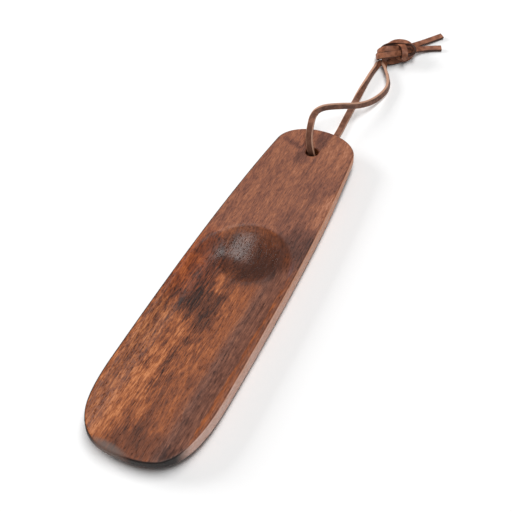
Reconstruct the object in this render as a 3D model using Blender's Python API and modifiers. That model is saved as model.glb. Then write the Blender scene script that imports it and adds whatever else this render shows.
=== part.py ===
"""A hand-sized wooden shoe horn with a leather hanging lace.

Metres, +Z up. The horn lies on its back with the tip towards -Y and the handle end towards +Y.
The table that it lies on is at Z = 0.
"""
import math

import bmesh
import bpy
from mathutils import Matrix, Vector
from mathutils.geometry import interpolate_bezier

# Wooden body, as an outline seen from above
LENGTH = 0.200
THICKNESS = 0.0090
BLADE_HALF_WIDTH = 0.0251
BLADE_SHOULDER = 0.038
TIP_ROUND_ACROSS = 0.0182
TIP_ROUND_ALONG = 0.030
HANDLE_HALF_WIDTH = 0.0191
HANDLE_SHOULDER = 0.013
HANDLE_ROUND_ACROSS = 0.011
HANDLE_ROUND_ALONG = 0.007
SIDE_TAPER = 0.11
SIDE_REACH = 0.047
OUTLINE_STEPS = 12

# Back of the body: flat in the middle, swept up to the tip and under the handle end
TIP_RISE = 0.0022
TIP_SWEEP = 0.060
HANDLE_RISE = 0.0026
HANDLE_SWEEP = 0.030
HANDLE_SWEEP_END = 0.024
BACK_ROUND = 0.0030
BACK_ROUND_SEGMENTS = 4
FRONT_ROUND = 0.0012
FRONT_ROUND_SEGMENTS = 3
BACK_STATIONS = 40

# Carved hollow: a trough that runs out at the tip and ends in an oval, with a ball-shaped bowl in its upper end
HOLLOW_HALF_WIDTH = 0.0222
HOLLOW_TOP = 0.129
HOLLOW_HEAD = 0.030
TROUGH_DEPTH_TIP = 0.0024
TROUGH_DEPTH_TOP = 0.0040
TROUGH_WALL = 0.0090
BOWL_FROM_TIP = 0.1114
BOWL_HALF_WIDTH = 0.0174
BOWL_DEPTH = 0.0064
BOWL_SOFTNESS = 0.0005
HOLLOW_MARGIN = 0.0015
HOLLOW_HEADROOM = 0.004
WALL_SHARES = (0.12, 0.26, 0.42, 0.6, 0.8, 1.0)
FLOOR_SHARES = (0.25, 0.5, 0.75, 1.0)
LIP_ROUND = 0.0010
LIP_STEPS = 4
LIP_STATIONS = 40
LIP_LIFT = 3.0
TROUGH_STATIONS = 22
HEAD_STATIONS = 24

# Hole for the lace
HOLE_RADIUS = 0.0030
HOLE_FROM_END = 0.0165
HOLE_MOUTH = 0.0010
HOLE_SIDES = 32
HOLE_MOUTH_STEPS = 4

# Leather lace: one flat strap from the knot under the handle, up through the hole and back over it
LACE_WIDTH = 0.0032
LACE_THICKNESS = 0.0014
LACE_CORNER = 0.0003
LACE_STEP = 0.0021
KNOT_STEP = 0.0017
CLEARANCE = 0.0003

# The knot's own frame: its middle, and the turn from +X to the way that it points
KNOT_MIDDLE = (0.0073, 0.1795, 0.0047)
KNOT_TURN = math.radians(62.7)

# Routes: places, each with the way that the strap's broad side looks.
# Those of the knot and of the tails are in the knot's own frame.
BACK_ROUTE = (
    ((0.0013, 0.1612, 0.0019), (-1.0, 0.0, -0.2)),
    ((0.0013, 0.1530, 0.0018), (-1.0, 0.0, -0.3)),
    ((0.0015, 0.1428, 0.0016), (-0.7, 0.0, -0.7)),
    ((0.0018, 0.1334, 0.0010), (-0.1, 0.0, -1.0)),
    ((0.0024, 0.1212, 0.0008), (0.0, 0.0, -1.0)),
    ((0.0030, 0.1102, 0.0008), (0.0, 0.0, -1.0)),
    ((0.0026, 0.0990, 0.0010), (0.0, 0.0, -1.0)),
    ((0.0011, 0.0905, 0.00105), (0.0, 0.0, -1.0)),
    ((0.0006, 0.0876, 0.00120), (0.0, -0.2, -1.0)),
    ((0.0002, 0.0853, 0.0024), (0.0, -0.7, -0.7)),
    ((-0.0001, 0.0841, 0.0052), (0.1, -1.0, 0.0)),
)
FRONT_ROUTE = (
    ((-0.0006, 0.0838, 0.0080), (0.0, -0.9, 0.1)),
    ((-0.0022, 0.0858, 0.0106), (-0.1, -0.8, 0.5)),
    ((-0.0046, 0.0912, 0.0122), (-0.1, -0.7, 0.7)),
    ((-0.0062, 0.0966, 0.0130), (0.0, -0.7, 0.7)),
    ((-0.0076, 0.1031, 0.0132), (0.2, -0.8, 0.5)),
    ((-0.0074, 0.1086, 0.0128), (0.4, -0.9, 0.2)),
    ((-0.0052, 0.1134, 0.0119), (0.4, -0.9, 0.1)),
    ((0.0002, 0.1205, 0.0093), (0.4, -0.9, 0.1)),
    ((0.0057, 0.1275, 0.0063), (0.4, -0.9, 0.1)),
    ((0.0097, 0.1344, 0.0044), (0.6, -0.8, 0.2)),
    ((0.0122, 0.1431, 0.0029), (0.9, -0.4, 0.2)),
    ((0.0130, 0.1509, 0.0023), (1.0, 0.0, 0.2)),
    ((0.0119, 0.1566, 0.0023), (1.0, 0.1, 0.3)),
    ((0.0099, 0.1609, 0.0023), (1.0, 0.1, 0.3)),
)
BACK_KNOT_ROUTE = (
    ((-0.0150, -0.0012, -0.0028), (0.4, -0.9, 0.2)),
    ((-0.0110, 0.0006, -0.0029), (0.2, -0.8, 0.6)),
    ((-0.0076, -0.0002, -0.0032), (0.1, 0.0, 1.0)),
    ((-0.0046, -0.0020, -0.0030), (-0.5, -0.6, 0.6)),
    ((0.0003, -0.0038, -0.0028), (-0.6, -0.7, 0.4)),
    ((0.0037, -0.0056, -0.0024), (-0.3, -0.9, 0.1)),
    ((0.0061, -0.0068, -0.0006), (0.5, -0.8, -0.2)),
    ((0.0077, -0.0065, 0.0012), (0.9, -0.5, 0.1)),
    ((0.0079, -0.0040, 0.0026), (0.8, -0.2, 0.6)),
    ((0.0066, -0.0012, 0.0033), (0.1, -0.2, 1.0)),
    ((0.0044, 0.0018, 0.0033), (-0.1, -0.2, 1.0)),
    ((0.0024, 0.0046, 0.0023), (-0.1, 0.2, 1.0)),
    ((0.0007, 0.0070, 0.0002), (0.0, 0.9, 0.5)),
    ((-0.0019, 0.0075, -0.0020), (0.3, 0.8, -0.5)),
    ((-0.0051, 0.0063, -0.0029), (0.1, 0.6, -0.8)),
    ((-0.0088, 0.0040, -0.0017), (-0.8, 0.5, -0.2)),
    ((-0.0101, 0.0022, 0.0005), (-0.9, 0.2, 0.4)),
    ((-0.0091, -0.0006, 0.0022), (-0.6, -0.4, 0.7)),
    ((-0.0057, -0.0029, 0.0026), (-0.4, -0.6, 0.7)),
    ((-0.0017, -0.0037, 0.0018), (-0.3, -0.7, 0.7)),
    ((0.0026, -0.0036, 0.0005), (-0.2, -0.6, 0.8)),
    ((0.0066, -0.0037, -0.0004), (-0.3, -0.4, 0.9)),
    ((0.0105, -0.0036, -0.0015), (-0.3, -0.4, 0.9)),
    ((0.0146, -0.0043, -0.0026), (-0.2, -0.3, 0.9)),
)
FRONT_KNOT_ROUTE = (
    ((-0.0134, -0.0080, -0.0024), (0.4, -0.9, 0.3)),
    ((-0.0115, -0.0047, -0.0023), (0.5, -0.8, 0.2)),
    ((-0.0100, -0.0025, -0.0020), (0.1, -0.7, 0.7)),
    ((-0.0075, -0.0001, -0.0019), (0.1, 0.0, 1.0)),
    ((-0.0051, 0.0003, -0.0011), (-0.4, -0.5, 0.8)),
    ((-0.0021, -0.0011, -0.0009), (-0.5, -0.7, 0.6)),
    ((-0.0007, -0.0041, -0.0009), (-0.5, -0.8, 0.3)),
    ((-0.0008, -0.0073, 0.0002), (-0.4, -0.9, -0.1)),
    ((-0.0005, -0.0075, 0.0023), (-0.5, -0.7, 0.5)),
    ((0.0012, -0.0052, 0.0032), (-0.4, -0.6, 0.7)),
    ((0.0035, -0.0016, 0.0028), (-0.2, -0.3, 0.9)),
    ((0.0036, 0.0020, 0.0022), (-0.1, 0.1, 1.0)),
    ((0.0021, 0.0051, 0.0007), (-0.1, 0.4, 0.9)),
    ((0.0013, 0.0079, -0.0016), (0.4, 0.8, -0.4)),
    ((-0.0018, 0.0077, -0.0029), (0.2, 0.6, -0.8)),
    ((-0.0060, 0.0059, -0.0019), (-0.6, 0.7, -0.3)),
    ((-0.0074, 0.0049, 0.0003), (-0.8, 0.4, 0.4)),
    ((-0.0065, 0.0030, 0.0025), (-0.5, -0.2, 0.8)),
    ((-0.0036, 0.0005, 0.0032), (-0.4, -0.5, 0.8)),
    ((-0.0001, -0.0003, 0.0021), (-0.1, -0.7, 0.7)),
    ((0.0044, 0.0000, 0.0002), (-0.1, -0.7, 0.7)),
    ((0.0088, -0.0004, -0.0008), (-0.3, -0.4, 0.9)),
    ((0.0126, -0.0007, -0.0015), (-0.3, -0.4, 0.9)),
    ((0.0148, -0.0005, -0.0020), (-0.3, -0.4, 0.9)),
)
UPPER_TAIL_ROUTE = (
    ((0.0185, -0.0003, -0.0028), (-0.1, -0.2, 1.0)),
    ((0.0254, -0.0008, -0.0034), (-0.1, -0.2, 1.0)),
    ((0.0301, -0.0014, -0.0035), (-0.1, -0.2, 1.0)),
    ((0.0326, -0.0018, -0.0035), (-0.1, -0.2, 1.0)),
)
LOWER_TAIL_ROUTE = (
    ((0.0175, -0.0052, -0.0031), (-0.1, -0.2, 1.0)),
    ((0.0204, -0.0067, -0.0034), (-0.1, -0.2, 1.0)),
    ((0.0244, -0.0095, -0.0035), (-0.1, -0.2, 1.0)),
)

# Edges shorter than the sliver are merged after a cut, and points nearer than a speck are one point
SLIVER = 0.00004
KNOT_SLIVER = 0.00002
SPECK = 0.000001
STRAIGHT_ANGLE = math.radians(0.5)
LEVEL_RATIO = 0.99
ROUND_PROFILE_RATIO = 0.5
HANDLE_RATIO = 1 / 3

# Finishes
WOOD_COLOUR = (0.150, 0.060, 0.032, 1.0)
WOOD_ROUGHNESS = 0.45
LEATHER_COLOUR = (0.190, 0.075, 0.040, 1.0)
LEATHER_ROUGHNESS = 0.6

TIP_Y = -LENGTH / 2
END_Y = LENGTH / 2
HOLE_Y = END_Y - HOLE_FROM_END
HEAD_Y = TIP_Y + HOLLOW_TOP - HOLLOW_HEAD
BOWL_Y = TIP_Y + BOWL_FROM_TIP


def clear_scene():
    for thing in list(bpy.data.objects):
        bpy.data.objects.remove(thing, do_unlink=True)


def new_collection(name):
    collection = bpy.data.collections.new(name)
    bpy.context.scene.collection.children.link(collection)
    return collection


def new_material(name, colour, roughness):
    material = bpy.data.materials.new(name)
    material.use_nodes = True
    shader = material.node_tree.nodes["Principled BSDF"]
    shader.inputs["Base Color"].default_value = colour
    shader.inputs["Roughness"].default_value = roughness
    shader.inputs["Metallic"].default_value = 0.0
    return material


def object_from_bmesh(name, bm, collection, material=None):
    mesh = bpy.data.meshes.new(name)
    bm.to_mesh(mesh)
    bm.free()
    thing = bpy.data.objects.new(name, mesh)
    collection.objects.link(thing)
    if material:
        mesh.materials.append(material)
    return thing


def loft(rings):
    """A closed bmesh through rings of places, each ring with as many places, with a cap on each end."""
    bm = bmesh.new()
    loops = [[bm.verts.new(place) for place in ring] for ring in rings]
    for first, second in zip(loops, loops[1:]):
        for k in range(len(first)):
            after = (k + 1) % len(first)
            bm.faces.new((first[k], first[after], second[after], second[k]))
    bm.faces.new(loops[0])
    bm.faces.new(loops[-1])
    bmesh.ops.recalc_face_normals(bm, faces=bm.faces)
    return bm


def smoothstep(value):
    value = min(max(value, 0.0), 1.0)
    return value * value * (3 - 2 * value)


def back_height(y):
    """Height of the back above the table at a place along the length."""
    from_tip = y - TIP_Y
    from_end = END_Y - y
    tip = TIP_RISE * max(0.0, 1 - from_tip / TIP_SWEEP) ** 2
    handle = HANDLE_RISE * smoothstep((HANDLE_SWEEP_END + HANDLE_SWEEP - from_end) / HANDLE_SWEEP)
    return tip + handle


def outline_corners():
    """Right half of the outline: each corner's place, and its handles ahead and behind."""
    return (
        ((0.0, TIP_Y), (TIP_ROUND_ACROSS, 0.0), (-TIP_ROUND_ACROSS, 0.0)),
        ((BLADE_HALF_WIDTH, TIP_Y + BLADE_SHOULDER), (0.0, SIDE_REACH), (0.0, -TIP_ROUND_ALONG)),
        ((HANDLE_HALF_WIDTH, END_Y - HANDLE_SHOULDER),
         (-SIDE_TAPER * HANDLE_ROUND_ALONG, HANDLE_ROUND_ALONG),
         (SIDE_TAPER * SIDE_REACH, -SIDE_REACH)),
        ((0.0, END_Y), (-HANDLE_ROUND_ACROSS, 0.0), (HANDLE_ROUND_ACROSS, 0.0)),
    )


def outline_mesh():
    """The body's outline as a filled curve, made a mesh of the body's thickness."""
    corners = outline_corners()
    mirrored = tuple(((-p[0], p[1]), (-b[0], b[1]), (-a[0], a[1])) for p, a, b in corners[2:0:-1])
    curve = bpy.data.curves.new("outline", "CURVE")
    curve.dimensions = "2D"
    curve.fill_mode = "BOTH"
    curve.extrude = THICKNESS / 2
    curve.resolution_u = OUTLINE_STEPS
    spline = curve.splines.new("BEZIER")
    points = corners + mirrored
    spline.bezier_points.add(len(points) - 1)
    for bezier, (place, ahead, behind) in zip(spline.bezier_points, points):
        place = Vector((*place, 0.0))
        bezier.handle_left_type = "FREE"
        bezier.handle_right_type = "FREE"
        bezier.co = place
        bezier.handle_right = place + Vector((*ahead, 0.0))
        bezier.handle_left = place + Vector((*behind, 0.0))
    spline.use_cyclic_u = True
    guide = bpy.data.objects.new("outline", curve)
    bpy.context.scene.collection.objects.link(guide)
    graph = bpy.context.evaluated_depsgraph_get()
    mesh = bpy.data.meshes.new_from_object(guide.evaluated_get(graph))
    mesh.transform(Matrix.Translation((0.0, 0.0, THICKNESS / 2)))
    bpy.data.objects.remove(guide)
    return mesh


def make_body(collection, material):
    """The board: outline, rounded edges and swept back. The hollow and the hole are cut by modifiers."""
    mesh = outline_mesh()
    bm = bmesh.new()
    bm.from_mesh(mesh)
    bpy.data.meshes.remove(mesh)
    bmesh.ops.remove_doubles(bm, verts=bm.verts, dist=SPECK)
    bmesh.ops.dissolve_limit(bm, angle_limit=STRAIGHT_ANGLE, verts=bm.verts, edges=bm.edges)
    for height, rounding, segments in (
            (0.0, BACK_ROUND, BACK_ROUND_SEGMENTS), (THICKNESS, FRONT_ROUND, FRONT_ROUND_SEGMENTS)):
        rim = [edge for edge in bm.edges if all(abs(v.co.z - height) < SLIVER for v in edge.verts)]
        bmesh.ops.bevel(
            bm, geom=rim, offset=rounding, segments=segments, profile=ROUND_PROFILE_RATIO,
            affect="EDGES", clamp_overlap=False)
    for station in range(1, BACK_STATIONS):
        y = TIP_Y + LENGTH * station / BACK_STATIONS
        bmesh.ops.bisect_plane(
            bm, geom=bm.verts[:] + bm.edges[:] + bm.faces[:],
            plane_co=(0, y, 0), plane_no=(0, 1, 0), dist=SPECK)
    bmesh.ops.recalc_face_normals(bm, faces=bm.faces)
    across_top = [edge for edge in bm.edges if all(face.normal.z > LEVEL_RATIO for face in edge.link_faces)]
    bmesh.ops.dissolve_edges(bm, edges=across_top, use_verts=False)
    for vertex in bm.verts:
        share = 1 - vertex.co.z / THICKNESS
        vertex.co.z += share * back_height(vertex.co.y)
    return object_from_bmesh("horn_body", bm, collection, material)


def trough_depth(inset, y):
    """Depth below the top face at a distance inside the hollow's edge. Outside the edge it is negative."""
    along = min(max((y - TIP_Y) / (BOWL_Y - TIP_Y), 0.0), 1.0)
    floor = TROUGH_DEPTH_TIP + (TROUGH_DEPTH_TOP - TROUGH_DEPTH_TIP) * smoothstep(along)
    slope = floor * math.pi / 2 / TROUGH_WALL
    if inset < 0:
        return slope * inset
    return floor * math.sin(math.pi / 2 * min(inset / TROUGH_WALL, 1.0))


def bowl_depth(x, y):
    """Depth of the ball-shaped bowl, whose edge touches the oval end of the hollow."""
    radius = (BOWL_HALF_WIDTH ** 2 + BOWL_DEPTH ** 2) / (2 * BOWL_DEPTH)
    away = min(math.hypot(x, y - BOWL_Y), radius)
    return math.sqrt(radius ** 2 - away ** 2) - (radius - BOWL_DEPTH)


def hollow_depth(x, y):
    """Depth of the whole hollow: the deeper of the trough and the bowl, blended softly."""
    past = max(y - HEAD_Y, 0.0) * HOLLOW_HALF_WIDTH / HOLLOW_HEAD
    inset = HOLLOW_HALF_WIDTH - math.hypot(x, past)
    trough = trough_depth(inset, y)
    bowl = bowl_depth(x, y)
    gap = (trough - bowl) / BOWL_SOFTNESS
    return max(trough, bowl) + BOWL_SOFTNESS * math.log1p(math.exp(-abs(gap))) * smoothstep(inset / TROUGH_WALL)


def make_hollow_cutter(collection):
    """The hollow as a closed cutter, swept along its edge from the tip, round the oval end and back."""
    insets = [-HOLLOW_MARGIN, 0.0]
    insets += [TROUGH_WALL * share for share in WALL_SHARES]
    insets += [TROUGH_WALL + (HOLLOW_HALF_WIDTH - TROUGH_WALL) * share for share in FLOOR_SHARES]
    start = TIP_Y - HOLLOW_MARGIN
    path = []
    for station in range(TROUGH_STATIONS):
        y = start + (HEAD_Y - start) * station / TROUGH_STATIONS
        path.append((Vector((1.0, 0.0)), y))
    for station in range(HEAD_STATIONS + 1):
        turn = math.pi * station / HEAD_STATIONS
        path.append((Vector((math.cos(turn), math.sin(turn) * HOLLOW_HEAD / HOLLOW_HALF_WIDTH)), HEAD_Y))
    for station in reversed(range(TROUGH_STATIONS)):
        y = start + (HEAD_Y - start) * station / TROUGH_STATIONS
        path.append((Vector((-1.0, 0.0)), y))
    bm = bmesh.new()
    rows = []
    for outward, y in path:
        row = []
        for inset in insets:
            place = outward * (HOLLOW_HALF_WIDTH - inset)
            x = place.x
            along = y + place.y
            row.append(bm.verts.new((x, along, THICKNESS - hollow_depth(x, along))))
        rows.append(row)
    for first, second in zip(rows, rows[1:]):
        for k in range(len(insets) - 1):
            bm.faces.new((first[k], second[k], second[k + 1], first[k + 1]))
    bmesh.ops.remove_doubles(bm, verts=bm.verts, dist=SPECK)
    border = [edge for edge in bm.edges if len(edge.link_faces) == 1]
    raised = bmesh.ops.extrude_edge_only(bm, edges=border)["geom"]
    lid = THICKNESS + HOLLOW_HEADROOM
    for part in raised:
        if isinstance(part, bmesh.types.BMVert):
            part.co.z = lid
    top = [edge for edge in bm.edges if len(edge.link_faces) == 1]
    bmesh.ops.edgeloop_fill(bm, edges=top)
    bmesh.ops.recalc_face_normals(bm, faces=bm.faces)
    return object_from_bmesh("hollow_cutter", bm, collection)


def make_lip_cutter(collection):
    """A corner piece swept along the tip, where the hollow runs out, to round the edge that it leaves there."""
    tip, shoulder = (tuple(Vector((*part, 0.0)) for part in corner) for corner in outline_corners()[:2])
    half = interpolate_bezier(tip[0], tip[0] + tip[1], shoulder[0] + shoulder[2], shoulder[0], LIP_STATIONS)
    section = [(-LIP_ROUND, LIP_ROUND), (-LIP_ROUND, 0.0)]
    for step in range(1, LIP_STEPS + 1):
        turn = math.pi / 2 * step / LIP_STEPS
        section.append((LIP_ROUND * (math.sin(turn) - 1), LIP_ROUND * (math.cos(turn) - 1)))
    section += [(LIP_ROUND, -LIP_ROUND), (LIP_ROUND, LIP_ROUND)]
    rings = []
    for before, place, after in zip(half, half[1:], half[2:]):
        inset = HOLLOW_HALF_WIDTH - place.x
        height = THICKNESS - (hollow_depth(place.x, place.y) if inset > 0 else LIP_LIFT * inset)
        out = Vector((after.y - before.y, before.x - after.x, 0.0)).normalized()
        rings.append([Vector((place.x, place.y, height + z)) + out * x for x, z in section])
        if inset < -LIP_ROUND:
            break
    mirrored = [[Vector((-place.x, place.y, place.z)) for place in ring] for ring in rings]
    return object_from_bmesh("lip_cutter", loft(mirrored[::-1] + rings), collection)


def make_hole_cutter(collection):
    """The hole for the lace with both mouths rounded, turned from one profile."""
    back = back_height(HOLE_Y)
    profile = []
    for mouth, way in ((THICKNESS, 1), (back, -1)):
        arc = []
        for step in range(HOLE_MOUTH_STEPS + 1):
            turn = math.pi / 2 * step / HOLE_MOUTH_STEPS
            radius = HOLE_RADIUS + HOLE_MOUTH * (1 - math.sin(turn))
            arc.append((radius, mouth - way * HOLE_MOUTH * (1 - math.cos(turn))))
        arc = [(arc[0][0] + HOLE_MOUTH, mouth + way * HOLE_MOUTH)] + arc
        profile += arc if way > 0 else arc[::-1]
    profile = [(0.0, profile[0][1])] + profile + [(0.0, profile[-1][1])]
    bm = bmesh.new()
    chain = [bm.verts.new((radius, 0.0, z)) for radius, z in profile]
    for first, second in zip(chain, chain[1:]):
        bm.edges.new((first, second))
    cutter = object_from_bmesh("hole_cutter", bm, collection)
    cutter.location = (0.0, HOLE_Y, 0.0)
    screw = cutter.modifiers.new("turn", "SCREW")
    screw.steps = HOLE_SIDES
    screw.render_steps = HOLE_SIDES
    screw.use_merge_vertices = True
    screw.merge_threshold = SPECK
    return cutter


def cut(thing, cutter, name, operation="DIFFERENCE"):
    cutter.hide_render = True
    cutter.display_type = "WIRE"
    modifier = thing.modifiers.new(name, "BOOLEAN")
    modifier.operation = operation
    modifier.solver = "EXACT"
    modifier.object = cutter
    return modifier


def merge_slivers(thing, reach):
    """Close up the very short edges that cuts leave."""
    weld = thing.modifiers.new("slivers", "WELD")
    weld.merge_threshold = reach


def make_horn(collection, cutters):
    wood = new_material("oiled_wood", WOOD_COLOUR, WOOD_ROUGHNESS)
    body = make_body(collection, wood)
    cut(body, make_hole_cutter(cutters), "lace_hole")
    cut(body, make_hollow_cutter(cutters), "hollow")
    cut(body, make_lip_cutter(cutters), "tip_lip")
    merge_slivers(body, SLIVER)
    return body


def smooth_route(route, step):
    """Places and broad-side directions about a step apart on a smooth curve through a route's points."""
    places = [Vector(place) for place, face in route]
    faces = [Vector(face).normalized() for place, face in route]
    last = len(places) - 1
    ways = [(places[min(k + 1, last)] - places[max(k - 1, 0)]).normalized() for k in range(last + 1)]
    samples = []
    for k in range(last):
        reach = (places[k + 1] - places[k]).length
        pieces = max(1, round(reach / step))
        leave = places[k] + ways[k] * reach * HANDLE_RATIO
        arrive = places[k + 1] - ways[k + 1] * reach * HANDLE_RATIO
        run = interpolate_bezier(places[k], leave, arrive, places[k + 1], pieces + 1)
        for n in range(pieces):
            samples.append((Vector(run[n]), faces[k].lerp(faces[k + 1], n / pieces)))
    samples.append((places[last], faces[last]))
    return samples


def strap_frames(route, step):
    """One frame for each ring of a flat strap: X across its width, Y along it and Z out of its broad side."""
    samples = smooth_route(route, step)
    last = len(samples) - 1
    frames = []
    for k, (place, face) in enumerate(samples):
        along = (samples[min(k + 1, last)][0] - samples[max(k - 1, 0)][0]).normalized()
        across = along.cross(face).normalized()
        up = across.cross(along)
        turn = Matrix((across, along, up)).transposed().to_4x4()
        frames.append(Matrix.Translation(place) @ turn)
    return frames


def make_strap(name, frames, collection, material=None):
    """A flat strap with its corners taken off, lofted ring by ring because it twists along its length."""
    wide = LACE_WIDTH / 2
    thick = LACE_THICKNESS / 2
    corner = ((wide, thick - LACE_CORNER), (wide - LACE_CORNER, thick))
    section = [(x, z) for x, z in corner]
    section += [(-x, z) for x, z in reversed(corner)]
    section += [(-x, -z) for x, z in corner]
    section += [(x, -z) for x, z in reversed(corner)]
    bm = loft([[frame @ Vector((x, 0.0, z)) for x, z in section] for frame in frames])
    return object_from_bmesh(name, bm, collection, material)


def place_by_knot(thing):
    thing.location = KNOT_MIDDLE
    thing.rotation_euler = (0.0, 0.0, KNOT_TURN)


def straight_from(frame, way):
    """The first two points of a route that goes on from a strap's end, a clearance away and square to it."""
    points = []
    for reach in (CLEARANCE, CLEARANCE + LACE_WIDTH):
        spot = frame @ Matrix.Translation((0.0, way * reach, 0.0))
        points.append((tuple(spot.translation), tuple(spot.col[2].xyz)))
    return points


def make_lace(collection, cutters):
    leather = new_material("brown_leather", LEATHER_COLOUR, LEATHER_ROUGHNESS)
    front = strap_frames(FRONT_KNOT_ROUTE, KNOT_STEP)
    back = strap_frames(BACK_KNOT_ROUTE, KNOT_STEP)
    knot = make_strap("lace_knot", front, collection, leather)
    second = make_strap("second_strap", back, cutters)
    for thing in (knot, second):
        place_by_knot(thing)
    joined = cut(knot, second, "both_straps", "UNION")
    joined.use_self = True
    merge_slivers(knot, KNOT_SLIVER)
    for name, end, route in (
            ("lace_tail_upper", front[-1], UPPER_TAIL_ROUTE), ("lace_tail_lower", back[-1], LOWER_TAIL_ROUTE)):
        frames = strap_frames((*straight_from(end, 1), *route), LACE_STEP)
        place_by_knot(make_strap(name, frames, collection, leather))
    world = Matrix.Translation(KNOT_MIDDLE) @ Matrix.Rotation(KNOT_TURN, 4, "Z")
    start = [(place, tuple(-x for x in face)) for place, face in straight_from(world @ back[0], -1)]
    end = reversed(straight_from(world @ front[0], -1))
    route = (*start, *BACK_ROUTE, *FRONT_ROUTE, *end)
    return make_strap("lace_loop", strap_frames(route, LACE_STEP), collection, leather)


def main():
    clear_scene()
    parts = new_collection("shoe_horn")
    cutters = new_collection("cutters")
    make_horn(parts, cutters)
    make_lace(parts, cutters)


main()
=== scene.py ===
import math

import bmesh
import bpy
from mathutils import Matrix, Vector
from mathutils.geometry import delaunay_2d_cdt, interpolate_bezier
from mathutils.kdtree import KDTree


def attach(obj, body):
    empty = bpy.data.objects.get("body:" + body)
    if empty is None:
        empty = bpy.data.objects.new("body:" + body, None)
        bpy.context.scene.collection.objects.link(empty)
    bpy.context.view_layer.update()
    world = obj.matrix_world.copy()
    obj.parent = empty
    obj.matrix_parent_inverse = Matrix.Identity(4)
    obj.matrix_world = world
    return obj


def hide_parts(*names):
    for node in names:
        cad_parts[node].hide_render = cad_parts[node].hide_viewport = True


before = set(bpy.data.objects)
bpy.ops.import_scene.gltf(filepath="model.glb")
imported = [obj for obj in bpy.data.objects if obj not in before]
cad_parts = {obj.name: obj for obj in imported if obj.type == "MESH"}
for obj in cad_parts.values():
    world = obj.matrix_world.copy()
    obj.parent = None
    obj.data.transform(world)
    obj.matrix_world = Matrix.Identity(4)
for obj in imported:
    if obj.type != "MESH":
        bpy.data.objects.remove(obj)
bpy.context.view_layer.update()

# Camera, where the photographer stood
CAMERA_PLACE = (0.14743, -0.29536, 0.35269)
CAMERA_TURN = (44.527, 0.654, 24.389)
CAMERA_LENS = 80.0
CAMERA_SENSOR = 36.0
CAMERA_CLIP = (0.01, 20.0)

# Wooden body
LENGTH = 0.200
TIP_Y = -LENGTH / 2
END_Y = LENGTH / 2
BLADE_HALF_WIDTH = 0.0251
BLADE_SHOULDER = 0.038
TIP_ROUND_ACROSS = 0.0182
TIP_ROUND_ALONG = 0.030
HANDLE_HALF_WIDTH = 0.0191
HANDLE_SHOULDER = 0.013
HANDLE_ROUND_ACROSS = 0.011
HANDLE_ROUND_ALONG = 0.007
SIDE_TAPER = 0.11
SIDE_REACH = 0.047
HANDLE_SWEEP = 0.030
HANDLE_SWEEP_END = END_Y - 0.024
BACK_ROUND = 0.0030
FRONT_ROUND = 0.0012

# Carved hollow
HOLLOW_HALF_WIDTH = 0.0222
HOLLOW_TOP = 0.129
HOLLOW_HEAD = 0.030
HEAD_Y = TIP_Y + HOLLOW_TOP - HOLLOW_HEAD
BOWL_Y = TIP_Y + 0.1114

# Sizes that the carving tree takes
HORN_SIZES = {
    "Thickness": 0.0090,
    "Tip rise": 0.0022,
    "Tip sweep": 0.060,
    "Handle rise": 0.0026,
    "Trough depth at tip": 0.0024,
    "Trough depth at bowl": 0.0040,
    "Trough wall": 0.0090,
    "Hollow half width": HOLLOW_HALF_WIDTH,
    "Hollow head": HOLLOW_HEAD,
    "Bowl half width": 0.0174,
    "Bowl depth": 0.0064,
    "Softness": 0.0020,
    "Edge wear": 0.0007,
}

# Hole for the lace
HOLE_RADIUS = 0.0030
HOLE_MOUTH = 0.0010
MOUTH_RADIUS = HOLE_RADIUS + HOLE_MOUTH
HOLE_MIDDLE = Vector((0.0, END_Y - 0.0165))

# Spacing of the body's surface points
OUTLINE_SAMPLES = 400
OUTLINE_PITCH = 0.0007
FRONT_PITCH = 0.0010
BACK_PITCH = 0.0022
ROUND_STEPS = 6
WALL_ROWS = 5
HOLE_SIDES = 48
# Lines that are kept beside the hollow's edge, inwards of it and outwards, and their gap to the rim
EDGE_LINES = (-0.0010, -0.0006, -0.0003, 0.0, 0.0003, 0.0006, 0.0010)
LINE_MARGIN = 0.0003
# As shares of the pitch: rows of even triangles, and the least gap to the rim and to a kept line
ROW_SHARE = math.sqrt(3) / 2
RIM_GAP_SHARE = 0.4
LINE_GAP_SHARE = 0.45
# Points this near are one point, in the flat net and in a finished piece
NET_TOUCH = 1e-7
PIECE_TOUCH = 1e-6

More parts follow.
